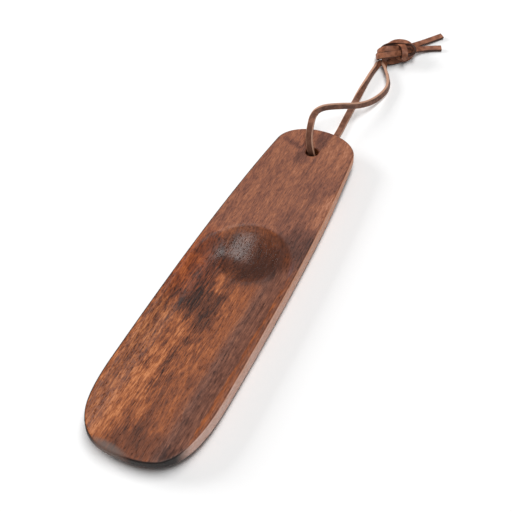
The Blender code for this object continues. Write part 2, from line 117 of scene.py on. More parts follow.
# Figures of this board on its plan, and patches of painted shade: middle, reach, turn in degrees and how
# much lighter or darker
WOOD_PATCHES = (
    # The first three darken the bowl and the wood right of it: its darker end grain and painted shade on the
    # bowl's right side
    ((-0.0005, 0.0125), (0.0175, 0.0175), 0.0, -0.22),
    ((0.0065, 0.0085), (0.0110, 0.0140), -15.0, -0.20),
    ((0.0200, 0.0230), (0.0130, 0.0170), 0.0, -0.29),
    ((-0.0150, 0.0215), (0.0100, 0.0030), 45.0, 0.07),
    ((-0.0165, 0.0085), (0.0070, 0.0090), 0.0, -0.11),
    ((-0.0170, -0.0060), (0.0060, 0.0120), 0.0, 0.05),
    ((-0.0121, -0.0057), (0.0060, 0.0180), 0.0, -0.25),
    ((-0.0075, -0.0199), (0.0100, 0.0130), -25.0, -0.32),
    ((-0.0014, -0.0301), (0.0055, 0.0100), 0.0, -0.25),
    ((-0.0135, -0.0219), (0.0045, 0.0060), 0.0, -0.14),
    ((0.0010, -0.0077), (0.0024, 0.0150), 0.0, -0.16),
    ((-0.0205, -0.0191), (0.0040, 0.0080), 0.0, -0.10),
    ((-0.0196, -0.0368), (0.0080, 0.0180), 0.0, 0.11),
    ((-0.0169, -0.0650), (0.0140, 0.0330), 0.0, 0.10),
    ((-0.0130, -0.0890), (0.0090, 0.0110), 0.0, 0.10),
    ((-0.0022, -0.0616), (0.0030, 0.0055), 0.0, -0.22),
    ((0.0073, -0.0596), (0.0024, 0.0045), 0.0, -0.12),
    ((-0.0142, -0.0556), (0.0030, 0.0025), 0.0, -0.14),
    ((-0.0054, -0.0514), (0.0018, 0.0045), 0.0, -0.14),
    ((0.0004, -0.0809), (0.0022, 0.0140), 0.0, -0.12),
    ((0.0020, -0.0930), (0.0160, 0.0120), 0.0, -0.18),
    ((0.0175, -0.0940), (0.0090, 0.0060), 30.0, -0.12),
    # A darker patch just below and left of the hole
    ((-0.0030, 0.0780), (0.0050, 0.0060), 0.0, -0.20),
    ((0.0012, 0.0940), (0.0045, 0.0095), 0.0, -0.14),
    ((0.0110, 0.0880), (0.0090, 0.0120), 0.0, 0.07),
    ((-0.0110, 0.0930), (0.0070, 0.0050), 0.0, 0.05),
    ((0.0130, 0.0600), (0.0110, 0.0140), 0.0, -0.08),
    ((0.0120, 0.0370), (0.0110, 0.0140), 0.0, -0.08),
    ((0.0204, 0.0450), (0.0036, 0.0260), -5.0, 0.15),
    ((-0.0110, 0.0640), (0.0035, 0.0120), 0.0, -0.05),
)
# A thin growth line to the left of the hole, told the same way
WOOD_LINES = (
    ((-0.0100, 0.0860), (0.0090, 0.0022), -20.0, -0.13),
)
# How far the grain frays the patches and the line
PATCH_FRAY = 0.006
LINE_FRAY = 0.0016
# A growth line that arches beside the bowl: middle, reach, how far it leans, how wide and how dark it is
ARCH_MIDDLE = (-0.0146, 0.0030)
ARCH_REACH = (0.0060, 0.0130)
ARCH_LEAN = 0.20
ARCH_WIDTH = 0.22
ARCH_DEPTH = 0.15
# Other places on the plan: middle, reach and turn in degrees
LIVELY_WOOD = ((-0.0120, -0.0400), (0.0240, 0.0720))
WARM_WOOD = ((-0.0190, -0.0020), (0.0140, 0.0280))
# The bowl's stained end grain, deepened by painted shade
BOWL_STAIN_AND_SHADE = ((0.0016, BOWL_Y + 0.0005), (0.0190, 0.0190))
BOWL_POLISH = ((0.0, BOWL_Y), (0.0175, 0.0175))
# Where a painted glint lies on the tip's lip
LIP_GLINT = ((-0.0060, -0.0990), (0.0110, 0.0036), -8.0)

# Grain, each kind by its fineness per metre across, along and through the board
WANDER_GRAIN = (60.0, 9.0, 60.0)
BAND_GRAIN = (420.0, 3.0, 1.0)
STREAK_GRAIN = (850.0, 26.0, 500.0)
MOTTLE_GRAIN = (400.0, 140.0, 400.0)
FLECK_GRAIN = (1250.0, 260.0, 900.0)
FIBRE_GRAIN = (2600.0, 200.0, 2000.0)
PORE_GRAIN = (2100.0, 620.0, 2100.0)
DRIFT_GRAIN = (210.0, 60.0, 1.0)
SWAY_GRAIN = (520.0, 80.0, 1.0)
# Where parts of the board begin and end, as soft steps across it, along it and through it
WALL_FROM = (0.0090, 0.0150)
WALL_TO = (0.0212, 0.0222)
RIM_FROM = (0.0214, 0.0224)
LEFT_SIDE = (-0.012, -0.008)
RIGHT_SIDE = (0.014, 0.017)
TIP_END = (-0.080, -0.070)
HANDLE_FROM = (-0.004, 0.022)
WALL_HEAD = (0.006, 0.016)
ARCH_FOOT = (-0.002, 0.008)
BACK_CLEAR = (0.0010, 0.0025)
BACK_FADE = (0.0, 0.0035)
TOP_FACE = (0.0082, 0.0089)

# Wood tones from dark heartwood to light, with the place of the usual one, and the tones of the painted
# light down the right side
MIDDLE_TONE = 0.590
WOOD_TONES = (
    (0.00, (0.011, 0.0045, 0.0030)),
    (0.25, (0.050, 0.0125, 0.0045)),
    (0.50, (0.175, 0.0480, 0.0170)),
    (0.70, (0.320, 0.0920, 0.0260)),
    (1.00, (0.560, 0.2050, 0.0760)),
)
RIGHT_SIDE_LIGHT_TONES = (
    (0.40, (0.640, 0.285, 0.155)),
    (0.70, (0.760, 0.510, 0.430)),
)
# What the wood's colour is multiplied by, and colours that cover it
WARM_TINT = (1.05, 0.80, 0.55, 1.0)
ROSY_TINT = (1.00, 1.25, 2.10, 1.0)
# A painted grey reflection for the hollow's right wall
WALL_REFLECTION_TINT = (1.00, 1.50, 2.80, 1.0)
# The bowl's stain, deepened by painted shade
STAIN_AND_SHADE_DARK = (0.030, 0.012, 0.008, 1.0)
STAIN_AND_SHADE_LIGHT = (0.095, 0.039, 0.028, 1.0)
# A painted glint for the tip's lip
LIP_GLINT_GREY = (0.130, 0.098, 0.085, 1.0)
# Dark end grain, darkened further as painted shade on the tip's end
END_GRAIN_SHADE = (0.008, 0.006, 0.0055, 1.0)
# Painted shade for the left side, which faces away from the light
LEFT_SIDE_SHADE = (0.016, 0.010, 0.009, 1.0)
# How much light the surface throws back, and the strength and depth of its relief
WOOD_SHINE = 0.38
WOOD_RELIEF = (0.50, 0.00025)

# Leather lace
LACE_WIDTH = 0.0032
LACE_THICKNESS = 0.0014
LACE_SIZES = {"Width": LACE_WIDTH, "Thickness": LACE_THICKNESS, "Corner": 0.00032}
CORNER_POINTS = 4
SECTION_CUTS = 2
LACE_FINE_STEP = 0.0005
LACE_EASING = 4
KNOT_STEP = 0.0017
KNOT_MIDDLE = (0.0073, 0.1795, 0.0047)
KNOT_TURN = math.radians(62.7)

# Leather's tones, and where the knot begins and where the lace nears the hole, as soft steps along the board
LEATHER_FACE = (0.125, 0.046, 0.024, 1.0)
LEATHER_WORN = (0.260, 0.112, 0.066, 1.0)
LEATHER_DARK = (0.045, 0.016, 0.009, 1.0)
LEATHER_RAW = (0.520, 0.300, 0.205, 1.0)
KNOT_TINT = (1.40, 1.25, 1.10, 1.0)
KNOT_FROM = (0.164, 0.172)
NEAR_HOLE_TO = (0.086, 0.102)
LEATHER_SHINE = 0.35
LEATHER_RELIEF = (0.4, 0.00012)

# Studio
FLOOR_REACH = 3.0
FLOOR_TONE = (0.90, 0.90, 0.90, 1.0)
FLOOR_ROUGHNESS = 0.9
FLOOR_SHINE = 0.1
ROOM_COLOUR = (1.0, 1.0, 1.0, 1.0)
ROOM_LIGHT = 0.20
# Soft panels of light: name, place, size, power, the way of the long side, and whether they show as a glint
SOFTBOXES = (
    ("overhead", (0.12, 0.16, 1.35), (0.50, 1.8), 17.8, (-0.12, 1.0, 0.0), True),
    ("left_side", (-1.2, 0.05, 0.55), (0.5, 0.7), 11.0, (0.0, 1.0, 0.0), False),
)

# Routes of the lace: places, each with the way that the strap's broad side looks.
# Those of the knot and the tails are in the knot's own frame.
BACK_ROUTE = (
    ((0.0013, 0.1612, 0.0019), (-1.0, 0.0, -0.2)),
    ((0.0013, 0.1530, 0.0018), (-1.0, 0.0, -0.3)),
    ((0.0015, 0.1428, 0.0016), (-0.7, 0.0, -0.7)),
    ((0.0018, 0.1334, 0.0010), (-0.1, 0.0, -1.0)),
    ((0.0024, 0.1212, 0.0008), (0.0, 0.0, -1.0)),
    ((0.0030, 0.1102, 0.0008), (0.0, 0.0, -1.0)),
    ((0.0026, 0.0990, 0.0010), (0.0, 0.0, -1.0)),
    ((0.0011, 0.0905, 0.00105), (0.0, 0.0, -1.0)),
    ((0.0006, 0.0876, 0.00120), (0.0, -0.2, -1.0)),
    ((0.0002, 0.0853, 0.0024), (0.0, -0.7, -0.7)),
    ((-0.0001, 0.0841, 0.0052), (0.1, -1.0, 0.0)),
)
FRONT_ROUTE = (
    ((-0.0006, 0.0838, 0.0080), (0.0, -0.9, 0.1)),
    ((-0.0022, 0.0858, 0.0106), (-0.1, -0.8, 0.5)),
    ((-0.0046, 0.0912, 0.0122), (-0.1, -0.7, 0.7)),
    ((-0.0062, 0.0966, 0.0130), (0.0, -0.7, 0.7)),
    ((-0.0076, 0.1031, 0.0132), (0.2, -0.8, 0.5)),
    ((-0.0074, 0.1086, 0.0128), (0.4, -0.9, 0.2)),
    ((-0.0052, 0.1134, 0.0119), (0.4, -0.9, 0.1)),
    ((0.0002, 0.1205, 0.0093), (0.4, -0.9, 0.1)),
    ((0.0057, 0.1275, 0.0063), (0.4, -0.9, 0.1)),
    ((0.0097, 0.1344, 0.0044), (0.6, -0.8, 0.2)),
    ((0.0122, 0.1431, 0.0029), (0.9, -0.4, 0.2)),
    ((0.0130, 0.1509, 0.0023), (1.0, 0.0, 0.2)),
    ((0.0119, 0.1566, 0.0023), (1.0, 0.1, 0.3)),
    ((0.0099, 0.1609, 0.0023), (1.0, 0.1, 0.3)),
)
BACK_KNOT_ROUTE = (
    ((-0.0150, -0.0012, -0.0028), (0.4, -0.9, 0.2)),
    ((-0.0110, 0.0006, -0.0029), (0.2, -0.8, 0.6)),
    ((-0.0076, -0.0002, -0.0032), (0.1, 0.0, 1.0)),
    ((-0.0046, -0.0020, -0.0030), (-0.5, -0.6, 0.6)),
    ((0.0003, -0.0038, -0.0028), (-0.6, -0.7, 0.4)),
    ((0.0037, -0.0056, -0.0024), (-0.3, -0.9, 0.1)),
    ((0.0061, -0.0068, -0.0006), (0.5, -0.8, -0.2)),
    ((0.0077, -0.0065, 0.0012), (0.9, -0.5, 0.1)),
    ((0.0079, -0.0040, 0.0026), (0.8, -0.2, 0.6)),
    ((0.0066, -0.0012, 0.0033), (0.1, -0.2, 1.0)),
    ((0.0044, 0.0018, 0.0033), (-0.1, -0.2, 1.0)),
    ((0.0024, 0.0046, 0.0023), (-0.1, 0.2, 1.0)),
    ((0.0007, 0.0070, 0.0002), (0.0, 0.9, 0.5)),
    ((-0.0019, 0.0075, -0.0020), (0.3, 0.8, -0.5)),
    ((-0.0051, 0.0063, -0.0029), (0.1, 0.6, -0.8)),
    ((-0.0088, 0.0040, -0.0017), (-0.8, 0.5, -0.2)),
    ((-0.0101, 0.0022, 0.0005), (-0.9, 0.2, 0.4)),
    ((-0.0091, -0.0006, 0.0022), (-0.6, -0.4, 0.7)),
    ((-0.0057, -0.0029, 0.0026), (-0.4, -0.6, 0.7)),
    ((-0.0017, -0.0037, 0.0018), (-0.3, -0.7, 0.7)),
    ((0.0026, -0.0036, 0.0005), (-0.2, -0.6, 0.8)),
    ((0.0066, -0.0037, -0.0004), (-0.3, -0.4, 0.9)),
    ((0.0105, -0.0036, -0.0015), (-0.3, -0.4, 0.9)),
    ((0.0146, -0.0043, -0.0026), (-0.2, -0.3, 0.9)),
)
FRONT_KNOT_ROUTE = (
    ((-0.0134, -0.0080, -0.0024), (0.4, -0.9, 0.3)),
    ((-0.0115, -0.0047, -0.0023), (0.5, -0.8, 0.2)),
    ((-0.0100, -0.0025, -0.0020), (0.1, -0.7, 0.7)),
    ((-0.0075, -0.0001, -0.0019), (0.1, 0.0, 1.0)),
    ((-0.0051, 0.0003, -0.0011), (-0.4, -0.5, 0.8)),
    ((-0.0021, -0.0011, -0.0009), (-0.5, -0.7, 0.6)),
    ((-0.0007, -0.0041, -0.0009), (-0.5, -0.8, 0.3)),
    ((-0.0008, -0.0073, 0.0002), (-0.4, -0.9, -0.1)),
    ((-0.0005, -0.0075, 0.0023), (-0.5, -0.7, 0.5)),
    ((0.0012, -0.0052, 0.0032), (-0.4, -0.6, 0.7)),
    ((0.0035, -0.0016, 0.0028), (-0.2, -0.3, 0.9)),
    ((0.0036, 0.0020, 0.0022), (-0.1, 0.1, 1.0)),
    ((0.0021, 0.0051, 0.0007), (-0.1, 0.4, 0.9)),
    ((0.0013, 0.0079, -0.0016), (0.4, 0.8, -0.4)),
    ((-0.0018, 0.0077, -0.0029), (0.2, 0.6, -0.8)),
    ((-0.0060, 0.0059, -0.0019), (-0.6, 0.7, -0.3)),
    ((-0.0074, 0.0049, 0.0003), (-0.8, 0.4, 0.4)),
    ((-0.0065, 0.0030, 0.0025), (-0.5, -0.2, 0.8)),
    ((-0.0036, 0.0005, 0.0032), (-0.4, -0.5, 0.8)),
    ((-0.0001, -0.0003, 0.0021), (-0.1, -0.7, 0.7)),
    ((0.0044, 0.0000, 0.0002), (-0.1, -0.7, 0.7)),
    ((0.0088, -0.0004, -0.0008), (-0.3, -0.4, 0.9)),
    ((0.0126, -0.0007, -0.0015), (-0.3, -0.4, 0.9)),
    ((0.0148, -0.0005, -0.0020), (-0.3, -0.4, 0.9)),
)
UPPER_TAIL_ROUTE = (
    ((0.0185, -0.0003, -0.0028), (-0.1, -0.2, 1.0)),
    ((0.0254, -0.0008, -0.0034), (-0.1, -0.2, 1.0)),
    ((0.0301, -0.0014, -0.0035), (-0.1, -0.2, 1.0)),
    ((0.0326, -0.0018, -0.0035), (-0.1, -0.2, 1.0)),
)
LOWER_TAIL_ROUTE = (
    ((0.0175, -0.0052, -0.0031), (-0.1, -0.2, 1.0)),
    ((0.0204, -0.0067, -0.0034), (-0.1, -0.2, 1.0)),
    ((0.0244, -0.0095, -0.0035), (-0.1, -0.2, 1.0)),
)


# Node trees

class Wire:
    """A value in a node tree, so that a rule is written as a sum."""

    def __init__(self, tree, socket):
        self.tree = tree
        self.socket = socket

    def work(self, operation, *others):
        node = self.tree.nodes.new("ShaderNodeMath")
        node.operation = operation
        for port, value in zip(node.inputs, (self, *others)):
            plug(self.tree, value, port)
        return Wire(self.tree, node.outputs[0])

    def __add__(self, other):
        return self.work("ADD", other)

    def __sub__(self, other):
        return self.work("SUBTRACT", other)

    def __mul__(self, other):
        return self.work("MULTIPLY", other)

    def __truediv__(self, other):
        return self.work("DIVIDE", other)

    def flipped(self):
        return self.work("MULTIPLY", -1.0) + 1.0

    def eased(self, low, high, out_low=0.0, out_high=1.0):
        """A soft step from low to high."""
        node = self.tree.nodes.new("ShaderNodeMapRange")
        node.interpolation_type = "SMOOTHSTEP"
        for port, value in zip(node.inputs, (self, low, high, out_low, out_high)):
            plug(self.tree, value, port)
        return Wire(self.tree, node.outputs[0])


def plug(tree, value, port):
    if isinstance(value, Wire):
        tree.links.new(value.socket, port)
    else:
        port.default_value = value


def split(tree, vector):
    node = tree.nodes.new("ShaderNodeSeparateXYZ")
    plug(tree, vector, node.inputs[0])
    return [Wire(tree, out) for out in node.outputs]


def combine(tree, *parts):
    node = tree.nodes.new("ShaderNodeCombineXYZ")
    for port, part in zip(node.inputs, parts):
        plug(tree, part, port)
    return Wire(tree, node.outputs[0])


def new_geometry_tree(name, inputs):
    """A tree that takes and gives geometry, with named inputs for its sizes."""
    tree = bpy.data.node_groups.new(name, "GeometryNodeTree")
    tree.interface.new_socket("Geometry", in_out="INPUT", socket_type="NodeSocketGeometry")
    for label in inputs:
        tree.interface.new_socket(label, in_out="INPUT", socket_type="NodeSocketFloat")
    tree.interface.new_socket("Material", in_out="INPUT", socket_type="NodeSocketMaterial")
    tree.interface.new_socket("Geometry", in_out="OUTPUT", socket_type="NodeSocketGeometry")
    enter = tree.nodes.new("NodeGroupInput")
    return tree, {socket.name: Wire(tree, socket) for socket in enter.outputs if socket.name}


def named_value(tree, name, kind="FLOAT"):
    node = tree.nodes.new("GeometryNodeInputNamedAttribute")
    node.data_type = kind
    node.inputs["Name"].default_value = name
    return Wire(tree, node.outputs[0])


def step(tree, kind, settings=(), out=0, **values):
    """One node with its settings and its inputs, which are named with _ for a space."""
    node = tree.nodes.new(kind)
    for name, setting in settings:
        setattr(node, name, setting)
    for name, value in values.items():
        plug(tree, value, node.inputs[name.replace("_", " ")])
    return Wire(tree, node.outputs[out])


def store(tree, geometry, name, value):
    """Keep a number at each point under a name, for the finish to read."""
    settings = (("data_type", "FLOAT"), ("domain", "POINT"))
    return step(tree, "GeometryNodeStoreNamedAttribute", settings, Geometry=geometry, Name=name, Value=value)


def finish_tree(tree, geometry, enter):
    """Every tree ends the same way: smooth, real and in its finish."""
    smooth = step(tree, "GeometryNodeSetShadeSmooth", Geometry=geometry)
    real = step(tree, "GeometryNodeRealizeInstances", Geometry=smooth)
    dressed = step(tree, "GeometryNodeSetMaterial", Geometry=real, Material=enter["Material"])
    leave = tree.nodes.new("NodeGroupOutput")
    plug(tree, dressed, leave.inputs[0])


def grow(thing, tree, material, sizes):
    """Run a tree on an object and keep the result as its plain mesh, closed and facing outwards."""
    modifier = thing.modifiers.new(tree.name, "NODES")
    modifier.node_group = tree
    for item in tree.interface.items_tree:
        if item.in_out == "INPUT" and item.name in sizes:
            modifier[item.identifier] = sizes[item.name]
        if item.in_out == "INPUT" and item.name == "Material":
            modifier[item.identifier] = material
    graph = bpy.context.evaluated_depsgraph_get()
    mesh = bpy.data.meshes.new_from_object(thing.evaluated_get(graph))
    name = thing.name
    bpy.data.objects.remove(thing)
    bm = bmesh.new()
    bm.from_mesh(mesh)
    bmesh.ops.remove_doubles(bm, verts=bm.verts, dist=PIECE_TOUCH)
    bmesh.ops.recalc_face_normals(bm, faces=bm.faces)
    bm.to_mesh(mesh)
    bm.free()
    mesh.name = name
    piece = bpy.data.objects.new(name, mesh)
    bpy.context.scene.collection.objects.link(piece)
    return piece


# Finishes

def new_finish(name):
    material = bpy.data.materials.new(name)
    material.use_nodes = True
    tree = material.node_tree
    shader = tree.nodes["Principled BSDF"]
    return material, tree, shader


def object_place(tree):
    node = tree.nodes.new("ShaderNodeTexCoord")
    return Wire(tree, node.outputs["Object"])


def noise(tree, place, scale=1.0, detail=3.0, rough=0.60):
    node = tree.nodes.new("ShaderNodeTexNoise")
    plug(tree, place, node.inputs["Vector"])
    node.inputs["Scale"].default_value = scale
    node.inputs["Detail"].default_value = detail
    node.inputs["Roughness"].default_value = rough
    return Wire(tree, node.outputs["Fac"])


def blend_colour(tree, share, first, second, way="MIX"):
    """From the first colour to the second, by a share, on the blend's sockets for colours."""
    node = tree.nodes.new("ShaderNodeMix")
    node.data_type = "RGBA"
    node.blend_type = way
    plug(tree, share, node.inputs["Factor"])
    plug(tree, first, node.inputs[6])
    plug(tree, second, node.inputs[7])
    return Wire(tree, node.outputs[2])


def grained(tree, x, y, z, fineness, **kind):
    """Noise around zero that is drawn out along the grain."""
    across, along, through = fineness
    return noise(tree, combine(tree, x * across, y * along, z * through), **kind) - 0.5


def bump(tree, height, relief, shader):
    node = tree.nodes.new("ShaderNodeBump")
    node.inputs["Strength"].default_value, node.inputs["Distance"].default_value = relief
    plug(tree, height, node.inputs["Height"])
    tree.links.new(node.outputs["Normal"], shader.inputs["Normal"])


def spot(tree, x, y, middle, reach, turn=0.0):
    """A soft patch on the plan: one at its middle, nothing past its reach."""
    cosine, sine = math.cos(math.radians(turn)), math.sin(math.radians(turn))
    along = (x - middle[0]) * cosine + (y - middle[1]) * sine
    across = (y - middle[1]) * cosine - (x - middle[0]) * sine
    away = (along / reach[0]).work("POWER", 2.0) + (across / reach[1]).work("POWER", 2.0)
    return away.eased(0.0, 1.0, 1.0, 0.0)


def colour_ramp(tree, share, stops):
    """A colour by a share, through stops that each have a position and a colour."""
    node = tree.nodes.new("ShaderNodeValToRGB")
    while len(node.color_ramp.elements) < len(stops):
        node.color_ramp.elements.new(0.5)
    for element, (position, colour) in zip(node.color_ramp.elements, stops):
        element.position = position
        element.color = (*colour, 1.0)
    plug(tree, share, node.inputs["Fac"])
    return Wire(tree, node.outputs["Color"])


def drift_of(tree, x, y, sample):
    """A slow wander on the plan, one of several samples of the same kind."""
    return grained(tree, x, y, sample, DRIFT_GRAIN, rough=0.62)


def wood_figure(tree, x, y, patches, fray):
    """Growth figures and patches of painted shade on this board's plan: soft patches, frayed along the
    grain.
    """
    across = x + drift_of(tree, x, y, 0.0) * fray
    along = y + grained(tree, x, y, 3.0, SWAY_GRAIN, rough=0.70) * (fray * 4.0)
    total = None
    for middle, reach, turn, depth in patches:
        patch = spot(tree, across, along, middle, reach, turn) * depth
        total = patch if total is None else total + patch
    return total


def growth_arch(tree, x, y, drift):
    """A thin growth line along the upper part of a leaning oval: one on the line, nothing off it."""
    lean = x + (y - ARCH_MIDDLE[1]) * ARCH_LEAN
    across = ((lean - ARCH_MIDDLE[0]) / ARCH_REACH[0]).work("POWER", 2.0)
    along = ((y - ARCH_MIDDLE[1]) / ARCH_REACH[1]).work("POWER", 2.0)
    off_line = ((across + along).work("SQRT") - 1.0 + drift * 0.25).work("ABSOLUTE")
    return off_line.eased(0.0, ARCH_WIDTH, 1.0, 0.0) * y.eased(*ARCH_FOOT)


def make_wood():
    material, tree, shader = new_finish("oiled_rosy_wood")
    x, y, z = split(tree, object_place(tree))
    facing = tree.nodes.new("ShaderNodeTexCoord")
    side_x, side_y, _ = split(tree, Wire(tree, facing.outputs["Normal"]))

    # Grain: long growth bands, streaks, mottle, short flecks, fine fibres and open pores
    layer = x * 0.55 + z * 1.35 + grained(tree, x, y, z, WANDER_GRAIN, rough=0.55) * 0.012
    bands = grained(tree, layer, y, 0.0, BAND_GRAIN)
    streaks = grained(tree, x, y, z, STREAK_GRAIN)
    mottle = grained(tree, x, y, z, MOTTLE_GRAIN, rough=0.65, detail=4.0)
    flecks = grained(tree, x, y, z, FLECK_GRAIN, rough=0.70)
    fibres = grained(tree, x, y, z, FIBRE_GRAIN)
    pores = grained(tree, x, y, z, PORE_GRAIN, rough=0.50, detail=1.0).eased(0.10, 0.22)
    drift = drift_of(tree, x, y, 5.0)

    # Tone from dark heartwood to light, livelier in the hollow. The front's figures fade towards the back.
    figure = wood_figure(tree, x, y, WOOD_PATCHES, PATCH_FRAY) * z.eased(*BACK_FADE, 0.30, 1.0)
    lines = wood_figure(tree, x, y, WOOD_LINES, LINE_FRAY) - growth_arch(tree, x, y, drift) * ARCH_DEPTH
    lively = spot(tree, x, y, *LIVELY_WOOD) * 0.65 + 0.70
    grain = bands * 0.40 + streaks * 0.42 + mottle * 0.62 + flecks * 0.68 + fibres * 0.90
    figure = figure * (flecks * 1.5 + mottle * 1.8 + 1.0)
    tone = grain * lively + figure + lines * z.eased(*BACK_FADE) + MIDDLE_TONE
    edge = x + mottle * 0.004
    below_bowl = y.eased(*WALL_HEAD, 1.0, 0.0)
    wall = edge.eased(*WALL_FROM) * edge.eased(*WALL_TO, 1.0, 0.0) * below_bowl
    rim = edge.eased(*RIM_FROM) * below_bowl
    # Painted shade darkens the hollow's right wall, which faces away from the light
    colour = colour_ramp(tree, tone - wall * 0.15 - rim * 0.06 - pores * 0.10, WOOD_TONES)

    # The wood beside the bowl is warmer, the handle rosier, and the hollow's right wall carries a painted
    # grey reflection
    handle = z.eased(*TOP_FACE) * y.eased(*HANDLE_FROM)
    colour = blend_colour(tree, spot(tree, x, y, *WARM_WOOD), colour, WARM_TINT, "MULTIPLY")
    colour = blend_colour(tree, handle, colour, ROSY_TINT, "MULTIPLY")
    colour = blend_colour(tree, wall * 0.9, colour, WALL_REFLECTION_TINT, "MULTIPLY")

    # The bowl is darker and evener: its stained end grain, deepened by painted shade
    bowl = spot(tree, x + drift * 0.010, y + drift * 0.014, *BOWL_STAIN_AND_SHADE).eased(0.0, 0.55)
    stain_and_shade = blend_colour(tree, mottle.eased(-0.25, 0.25), STAIN_AND_SHADE_DARK, STAIN_AND_SHADE_LIGHT)
    colour = blend_colour(tree, bowl * z.eased(*BACK_CLEAR) * 0.5, colour, stain_and_shade)

    # A painted grey glint on the tip's lip, dark end grain with painted shade on the tip's end, painted
    # shade down the left side and painted light down the right side
    lip = spot(tree, x, y, *LIP_GLINT)
    end = (side_y * -1.0).eased(0.25, 0.62) * y.eased(*TIP_END, 1.0, 0.0) * lip.flipped()
    left = (side_x * -1.0).eased(0.15, 0.50) * x.eased(*LEFT_SIDE, 1.0, 0.0)
    # Painted light on the right side, which faces the light
    right = side_x.eased(0.55, 0.90) * x.eased(*RIGHT_SIDE) * end.flipped()
    pale = colour_ramp(tree, grain * 0.5 + y * -2.0 + 0.50, RIGHT_SIDE_LIGHT_TONES)
    covers = ((lip * 0.80, LIP_GLINT_GREY), (end * 0.95, END_GRAIN_SHADE), (left * 0.90, LEFT_SIDE_SHADE), (right * 0.90, pale))
    for share, cover in covers:
        colour = blend_colour(tree, share, colour, cover)
    plug(tree, colour, shader.inputs["Base Color"])

    # The bowl is polished, the rest only oiled
    polish = spot(tree, x, y, *BOWL_POLISH).eased(0.10, 0.50)
    rough = flecks.eased(-0.25, 0.25, 0.44, 0.56) - polish * 0.26 + pores * 0.2
    plug(tree, rough, shader.inputs["Roughness"])
    bump(tree, flecks * 0.5 + fibres * 0.6 - pores * 1.2, WOOD_RELIEF, shader)
    shader.inputs["Specular IOR Level"].default_value = WOOD_SHINE
    return material


def make_leather():
    material, tree, shader = new_finish("brown_strap_leather")
    values = []
    for name in ("along", "across", "through"):
        node = tree.nodes.new("ShaderNodeAttribute")
        node.attribute_name = name
        values.append(Wire(tree, node.outputs["Fac"]))
    along, across, through = values
    spread = combine(tree, along, across * (LACE_WIDTH / 2), through * (LACE_THICKNESS / 2))
    grain = noise(tree, spread, scale=2600.0)
    mottle = noise(tree, spread, scale=420.0, rough=0.55)
    hairs = noise(tree, combine(tree, along * 500.0, across * 6.0, through * 9.0))
    tone = blend_colour(tree, mottle.eased(0.36, 0.64, 0.0, 0.8), LEATHER_FACE, LEATHER_WORN)
    tone = blend_colour(tree, grain.eased(0.50, 0.75, 0.0, 0.5), tone, LEATHER_DARK)

    # Paler in the knot and the tails, and darker near the hole
    _, y, _ = split(tree, object_place(tree))
    knot_part = y.eased(*KNOT_FROM)
    tone = blend_colour(tree, knot_part, tone, KNOT_TINT, "MULTIPLY")
    tone = blend_colour(tree, y.eased(*NEAR_HOLE_TO, 0.62, 0.0), tone, LEATHER_DARK)

    # The cut edges are pale, and painted shade darkens them in the knot and the tails
    edge = across.work("ABSOLUTE") + (hairs - 0.5) * 0.10 - knot_part * 0.02
    cut = blend_colour(tree, hairs.eased(0.40, 0.70, 0.0, 0.55), LEATHER_RAW, LEATHER_WORN)
    cut = blend_colour(tree, knot_part, cut, LEATHER_DARK)
    tone = blend_colour(tree, edge.eased(0.80, 0.93, 0.0, 0.95), tone, cut)
    plug(tree, tone, shader.inputs["Base Color"])
    plug(tree, grain.eased(0.3, 0.7, 0.48, 0.66), shader.inputs["Roughness"])
    bump(tree, grain + hairs * 0.5, LEATHER_RELIEF, shader)
    shader.inputs["Specular IOR Level"].default_value = LEATHER_SHINE
    return material


# Wooden body

def outline_loop(pitch):
    """The body's outline seen from above, anticlockwise, as evenly spaced places with the way inwards."""
    corners = (
        ((0.0, TIP_Y), (TIP_ROUND_ACROSS, 0.0), (-TIP_ROUND_ACROSS, 0.0)),
        ((BLADE_HALF_WIDTH, TIP_Y + BLADE_SHOULDER), (0.0, SIDE_REACH), (0.0, -TIP_ROUND_ALONG)),
        ((HANDLE_HALF_WIDTH, END_Y - HANDLE_SHOULDER),
         (-SIDE_TAPER * HANDLE_ROUND_ALONG, HANDLE_ROUND_ALONG),
         (SIDE_TAPER * SIDE_REACH, -SIDE_REACH)),
        ((0.0, END_Y), (-HANDLE_ROUND_ACROSS, 0.0), (HANDLE_ROUND_ACROSS, 0.0)),
    )
    half = []
    for (place, ahead, _), (after, _, behind) in zip(corners, corners[1:]):
        run = interpolate_bezier(
            Vector((*place, 0)), Vector((place[0] + ahead[0], place[1] + ahead[1], 0)),
            Vector((after[0] + behind[0], after[1] + behind[1], 0)), Vector((*after, 0)), OUTLINE_SAMPLES)
        half += [point.xy for point in run][:-1]
    half.append(Vector((0.0, END_Y)))
    whole = half + [Vector((-point.x, point.y)) for point in reversed(half[1:-1])]
    lengths = [0.0]
    for first, second in zip(whole, whole[1:] + whole[:1]):
        lengths.append(lengths[-1] + (second - first).length)
    count = 2 * round(lengths[-1] / pitch / 2)
    points = []
    k = 0
    for n in range(count):
        want = lengths[-1] * n / count
        while lengths[k + 1] < want:
            k += 1
        share = (want - lengths[k]) / (lengths[k + 1] - lengths[k])
        points.append(whole[k].lerp(whole[(k + 1) % len(whole)], share))
    loop = []
    for n, point in enumerate(points):
        way = (points[(n + 1) % count] - points[n - 1]).normalized()
        loop.append((point, Vector((-way.y, way.x))))
    return loop


def hole_ring(radius):
    """Places round the middle of the hole."""
    turns = [math.tau * n / HOLE_SIDES for n in range(HOLE_SIDES)]
    return [Vector((math.cos(turn), math.sin(turn))) * radius + HOLE_MIDDLE for turn in turns]


def nearest_of(points):
    """A finder of the nearest of some places on the plan."""
    finder = KDTree(len(points))
    for n, point in enumerate(points):
        finder.insert((*point, 0.0), n)
    finder.balance()
    return lambda point: finder.find((*point, 0.0))


